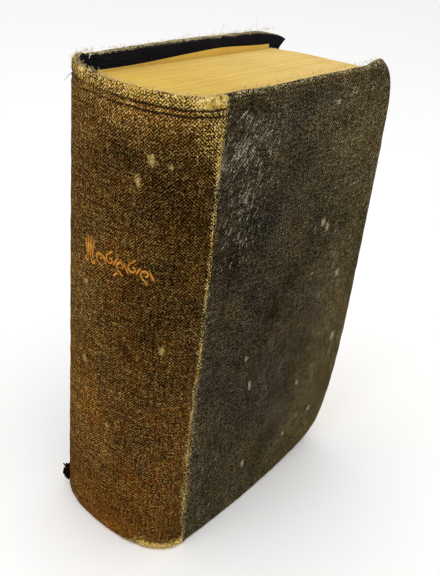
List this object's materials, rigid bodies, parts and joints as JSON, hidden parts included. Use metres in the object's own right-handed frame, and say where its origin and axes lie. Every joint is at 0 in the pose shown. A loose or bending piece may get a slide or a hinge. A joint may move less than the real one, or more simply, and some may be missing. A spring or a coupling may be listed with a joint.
{
  "type": "prayer book",
  "caption": "Small thick cloth-bound book with a rounded spine, two hinged covers, free endpapers and sewn leaves that fan open with the covers.",
  "frame": {"origin": "middle of the footprint, at the height of the tail edges that the book stands on", "axes": "+Z from tail to head, -X out of the spine, +X out of the fore-edge, -Y out of the front cover, +Y out of the rear cover"},
  "size_m": [0.093, 0.05, 0.146],
  "materials": {
    "cover_cloth": "matt woven book cloth, charcoal worn to brown",
    "spine_cloth": "matt woven book cloth, sunned to olive brown",
    "board": "matt grey-brown millboard",
    "endpaper": "matt, toned tan-orange",
    "leaf_paper": "matt, toned tan",
    "lining_paper": "matt brown paper",
    "mull": "open starched weave",
    "tape": "plain linen tape",
    "thread": "linen thread"
  },
  "bodies": {
    "spine": {"spine_cloth": "spine_cloth", "spine_inlay": "board", "back_lining": "lining_paper", "mull": "mull", "sewing_tape_lower": "tape", "sewing_tape_middle": "tape", "sewing_tape_upper": "tape", "kettle_stitch_tail": "thread", "kettle_stitch_head": "thread", "sewn_folds": "leaf_paper", "gathering_11": "leaf_paper", "gathering_12": "leaf_paper", "gathering_13": "leaf_paper", "gathering_14": "leaf_paper"},
    "front_cover": {"front_cover_cloth": "cover_cloth", "front_board": "board", "front_mull_flange": "mull", "front_pastedown": "endpaper"},
    "front_endpaper": {"front_free_endpaper": "endpaper"},
    "leaves_01": {"gathering_01": "leaf_paper"},
    "leaves_02": {"gathering_02": "leaf_paper"},
    "leaves_03": {"gathering_03": "leaf_paper"},
    "leaves_04": {"gathering_04": "leaf_paper"},
    "leaves_05": {"gathering_05": "leaf_paper"},
    "leaves_06": {"gathering_06": "leaf_paper"},
    "leaves_07": {"gathering_07": "leaf_paper"},
    "leaves_08": {"gathering_08": "leaf_paper"},
    "leaves_09": {"gathering_09": "leaf_paper"},
    "leaves_10": {"gathering_10": "leaf_paper"},
    "leaves_15": {"gathering_15": "leaf_paper"},
    "leaves_16": {"gathering_16": "leaf_paper"},
    "leaves_17": {"gathering_17": "leaf_paper"},
    "leaves_18": {"gathering_18": "leaf_paper"},
    "leaves_19": {"gathering_19": "leaf_paper"},
    "leaves_20": {"gathering_20": "leaf_paper"},
    "leaves_21": {"gathering_21": "leaf_paper"},
    "leaves_22": {"gathering_22": "leaf_paper"},
    "leaves_23": {"gathering_23": "leaf_paper"},
    "leaves_24": {"gathering_24": "leaf_paper"},
    "rear_endpaper": {"rear_free_endpaper": "endpaper"},
    "rear_cover": {"rear_cover_cloth": "cover_cloth", "rear_board": "board", "rear_mull_flange": "mull", "rear_pastedown": "endpaper"}
  },
  "joints": [
    {"name": "front_cover_hinge", "type": "hinge", "parent": "spine", "child": "front_cover", "pos_m": [-0.03266, -0.0252, 0], "axis": [0, 0, -1], "range_deg": [0, 178]},
    {"name": "rear_cover_hinge", "type": "hinge", "parent": "spine", "child": "rear_cover", "pos_m": [-0.03266, 0.0252, 0], "axis": [0, 0, 1], "range_deg": [0, 178]},
    {"name": "front_endpaper_fold", "type": "hinge", "parent": "spine", "child": "front_endpaper", "pos_m": [-0.03266, -0.0252, 0], "axis": [0, 0, -1], "range_deg": [0, 165.54]},
    {"name": "leaves_01_turn", "type": "hinge", "parent": "spine", "child": "leaves_01", "pos_m": [-0.03266, -0.0252, 0], "axis": [0, 0, -1], "range_deg": [0, 151.3]},
    {"name": "leaves_02_turn", "type": "hinge", "parent": "spine", "child": "leaves_02", "pos_m": [-0.03266, -0.0252, 0], "axis": [0, 0, -1], "range_deg": [0, 136.17]},
    {"name": "leaves_03_turn", "type": "hinge", "parent": "spine", "child": "leaves_03", "pos_m": [-0.03266, -0.0252, 0], "axis": [0, 0, -1], "range_deg": [0, 121.04]},
    {"name": "leaves_04_turn", "type": "hinge", "parent": "spine", "child": "leaves_04", "pos_m": [-0.03266, -0.0252, 0], "axis": [0, 0, -1], "range_deg": [0, 105.91]},
    {"name": "leaves_05_turn", "type": "hinge", "parent": "spine", "child": "leaves_05", "pos_m": [-0.03266, -0.0252, 0], "axis": [0, 0, -1], "range_deg": [0, 90.78]},
    {"name": "leaves_06_turn", "type": "hinge", "parent": "spine", "child": "leaves_06", "pos_m": [-0.03266, -0.0252, 0], "axis": [0, 0, -1], "range_deg": [0, 75.65]},
    {"name": "leaves_07_turn", "type": "hinge", "parent": "spine", "child": "leaves_07", "pos_m": [-0.03266, -0.0252, 0], "axis": [0, 0, -1], "range_deg": [0, 60.52]},
    {"name": "leaves_08_turn", "type": "hinge", "parent": "spine", "child": "leaves_08", "pos_m": [-0.03266, -0.0252, 0], "axis": [0, 0, -1], "range_deg": [0, 45.39]},
    {"name": "leaves_09_turn", "type": "hinge", "parent": "spine", "child": "leaves_09", "pos_m": [-0.03266, -0.0252, 0], "axis": [0, 0, -1], "range_deg": [0, 30.26]},
    {"name": "leaves_10_turn", "type": "hinge", "parent": "spine", "child": "leaves_10", "pos_m": [-0.03266, -0.0252, 0], "axis": [0, 0, -1], "range_deg": [0, 15.13]},
    {"name": "rear_endpaper_fold", "type": "hinge", "parent": "spine", "child": "rear_endpaper", "pos_m": [-0.03266, 0.0252, 0], "axis": [0, 0, 1], "range_deg": [0, 165.54]},
    {"name": "leaves_15_turn", "type": "hinge", "parent": "spine", "child": "leaves_15", "pos_m": [-0.03266, 0.0252, 0], "axis": [0, 0, 1], "range_deg": [0, 15.13]},
    {"name": "leaves_16_turn", "type": "hinge", "parent": "spine", "child": "leaves_16", "pos_m": [-0.03266, 0.0252, 0], "axis": [0, 0, 1], "range_deg": [0, 30.26]},
    {"name": "leaves_17_turn", "type": "hinge", "parent": "spine", "child": "leaves_17", "pos_m": [-0.03266, 0.0252, 0], "axis": [0, 0, 1], "range_deg": [0, 45.39]},
    {"name": "leaves_18_turn", "type": "hinge", "parent": "spine", "child": "leaves_18", "pos_m": [-0.03266, 0.0252, 0], "axis": [0, 0, 1], "range_deg": [0, 60.52]},
    {"name": "leaves_19_turn", "type": "hinge", "parent": "spine", "child": "leaves_19", "pos_m": [-0.03266, 0.0252, 0], "axis": [0, 0, 1], "range_deg": [0, 75.65]},
    {"name": "leaves_20_turn", "type": "hinge", "parent": "spine", "child": "leaves_20", "pos_m": [-0.03266, 0.0252, 0], "axis": [0, 0, 1], "range_deg": [0, 90.78]},
    {"name": "leaves_21_turn", "type": "hinge", "parent": "spine", "child": "leaves_21", "pos_m": [-0.03266, 0.0252, 0], "axis": [0, 0, 1], "range_deg": [0, 105.91]},
    {"name": "leaves_22_turn", "type": "hinge", "parent": "spine", "child": "leaves_22", "pos_m": [-0.03266, 0.0252, 0], "axis": [0, 0, 1], "range_deg": [0, 121.04]},
    {"name": "leaves_23_turn", "type": "hinge", "parent": "spine", "child": "leaves_23", "pos_m": [-0.03266, 0.0252, 0], "axis": [0, 0, 1], "range_deg": [0, 136.17]},
    {"name": "leaves_24_turn", "type": "hinge", "parent": "spine", "child": "leaves_24", "pos_m": [-0.03266, 0.0252, 0], "axis": [0, 0, 1], "range_deg": [0, 151.3]}
  ],
  "couplings": [
    {"joint": "front_endpaper_fold", "follows": "front_cover_hinge", "ratio": 0.93},
    {"joint": "leaves_01_turn", "follows": "front_cover_hinge", "ratio": 0.85},
    {"joint": "leaves_02_turn", "follows": "front_cover_hinge", "ratio": 0.765},
    {"joint": "leaves_03_turn", "follows": "front_cover_hinge", "ratio": 0.68},
    {"joint": "leaves_04_turn", "follows": "front_cover_hinge", "ratio": 0.595},
    {"joint": "leaves_05_turn", "follows": "front_cover_hinge", "ratio": 0.51},
    {"joint": "leaves_06_turn", "follows": "front_cover_hinge", "ratio": 0.425},
    {"joint": "leaves_07_turn", "follows": "front_cover_hinge", "ratio": 0.34},
    {"joint": "leaves_08_turn", "follows": "front_cover_hinge", "ratio": 0.255},
    {"joint": "leaves_09_turn", "follows": "front_cover_hinge", "ratio": 0.17},
    {"joint": "leaves_10_turn", "follows": "front_cover_hinge", "ratio": 0.085},
    {"joint": "rear_endpaper_fold", "follows": "rear_cover_hinge", "ratio": 0.93},
    {"joint": "leaves_15_turn", "follows": "rear_cover_hinge", "ratio": 0.085},
    {"joint": "leaves_16_turn", "follows": "rear_cover_hinge", "ratio": 0.17},
    {"joint": "leaves_17_turn", "follows": "rear_cover_hinge", "ratio": 0.255},
    {"joint": "leaves_18_turn", "follows": "rear_cover_hinge", "ratio": 0.34},
    {"joint": "leaves_19_turn", "follows": "rear_cover_hinge", "ratio": 0.425},
    {"joint": "leaves_20_turn", "follows": "rear_cover_hinge", "ratio": 0.51},
    {"joint": "leaves_21_turn", "follows": "rear_cover_hinge", "ratio": 0.595},
    {"joint": "leaves_22_turn", "follows": "rear_cover_hinge", "ratio": 0.68},
    {"joint": "leaves_23_turn", "follows": "rear_cover_hinge", "ratio": 0.765},
    {"joint": "leaves_24_turn", "follows": "rear_cover_hinge", "ratio": 0.85}
  ]
}
